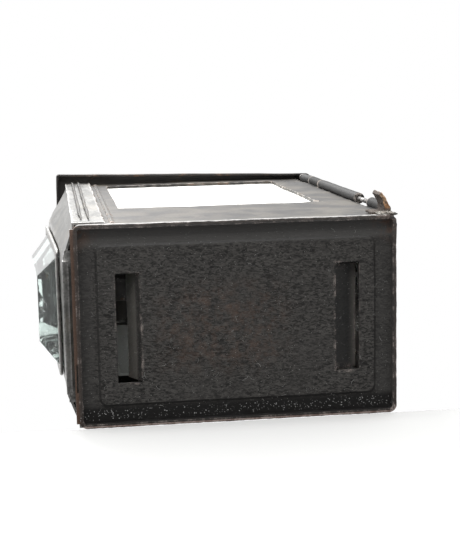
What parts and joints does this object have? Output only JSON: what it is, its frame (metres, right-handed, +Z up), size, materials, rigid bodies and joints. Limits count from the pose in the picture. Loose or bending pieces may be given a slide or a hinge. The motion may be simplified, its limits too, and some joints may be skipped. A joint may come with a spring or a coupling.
{
  "type": "candle lantern",
  "caption": "Tall sheet-tin candle lantern with a bevelled lens, glazed sides, a hinged back door and a hipped roof with a capped chimney and ring.",
  "frame": {"origin": "middle of the footprint box, on the plane that the base rim stands on", "axes": "+Z up along the case, lens towards -Y, door at +Y, hinge corner towards +X"},
  "size_m": [0.074, 0.1214, 0.2218],
  "materials": {
    "japanned_tin": "old black japan over tin, dusty and worn",
    "worn_tin": "grey-brown worn japan, rust specks",
    "grey_tin": "dull grey mottled tin",
    "bright_tin": "bright tin, lightly tarnished",
    "rusty_tin": "orange-brown rust",
    "iron_wire": "dark drawn wire, rubbed",
    "aged_brass": "aged brass, dull",
    "lens_glass": "thick bevelled glass, scratched",
    "window_glass": "thin old sheet glass, dusty",
    "wax": "ivory wax",
    "wick": "burnt cotton"
  },
  "bodies": {
    "case": {"base_plate": "japanned_tin", "front_panel": "grey_tin", "lens_glass": "lens_glass", "lens_bezel": "grey_tin", "right_side_panel": "worn_tin", "left_side_panel": "worn_tin", "right_lens_clip": "bright_tin", "left_lens_clip": "bright_tin", "right_window_glass": "window_glass", "left_window_glass": "window_glass", "right_window_channel": "grey_tin", "left_window_channel": "grey_tin", "back_frame": "worn_tin", "hinge_pin": "iron_wire", "corner_tab": "rusty_tin", "latch_rivet": "aged_brass", "eave_plate": "japanned_tin", "roof": "japanned_tin", "chimney": "worn_tin", "chimney_cap": "japanned_tin", "cap_leg_1": "worn_tin", "cap_leg_2": "worn_tin", "cap_leg_3": "worn_tin", "ring_staple": "iron_wire"},
    "door": {"back_door": "japanned_tin", "door_pull": "aged_brass", "reflector": "bright_tin", "reflector_rivet_1": "aged_brass", "reflector_rivet_2": "aged_brass"},
    "latch": {"latch_button": "aged_brass"},
    "ring": {"carrying_ring": "iron_wire"},
    "candle_holder": {"candle_tray": "grey_tin", "candle_cup": "aged_brass", "candle": "wax", "wick": "wick"}
  },
  "joints": [
    {"name": "door_hinge", "type": "hinge", "parent": "case", "child": "door", "pos_m": [0.03068, 0.05402, 0.08], "axis": [0, 0, -1], "range_deg": [0, 165]},
    {"name": "latch_turn", "type": "hinge", "parent": "case", "child": "latch", "pos_m": [-0.02767, 0.05552, 0.084], "axis": [0, -1, 0], "range_deg": [-90, 90]},
    {"name": "ring_swing", "type": "hinge", "parent": "case", "child": "ring", "pos_m": [-0.00127, 0.00342, 0.2175], "axis": [-0.0244, 0.9997, 0], "range_deg": [0, 292]},
    {"name": "tray_lift", "type": "slide", "parent": "case", "child": "candle_holder", "axis": [0, 0, 1], "range_m": [0, 0.012]}
  ]
}
